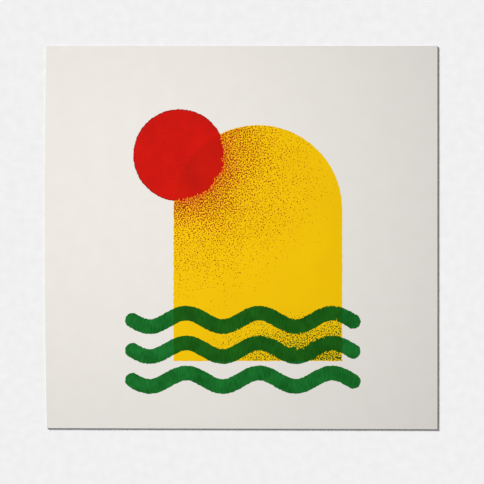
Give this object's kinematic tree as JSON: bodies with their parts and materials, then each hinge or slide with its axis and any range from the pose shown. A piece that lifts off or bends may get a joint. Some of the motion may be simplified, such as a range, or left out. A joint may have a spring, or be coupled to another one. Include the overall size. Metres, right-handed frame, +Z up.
{
  "type": "art print",
  "caption": "Nearly square art print on heavy off-white paper, with a yellow arch, a red disc and green wavy bands in flat stippled inks",
  "frame": {"origin": "on the surface that the sheet lies on, under the middle of the sheet", "axes": "+Z up, out of the printed face; +Y towards the top of the picture; +X to the right of the picture"},
  "size_m": [0.21, 0.205, 0.0007],
  "materials": {
    "paper": "matte",
    "yellow_ink": "matte",
    "red_ink": "matte",
    "green_ink": "matte"
  },
  "bodies": {
    "root": {"paper_sheet": "paper", "yellow_arch_ink": "yellow_ink", "red_disc_ink": "red_ink", "green_wave_ink_upper": "green_ink", "green_wave_ink_middle": "green_ink", "green_wave_ink_lower": "green_ink"}
  },
  "joints": []
}
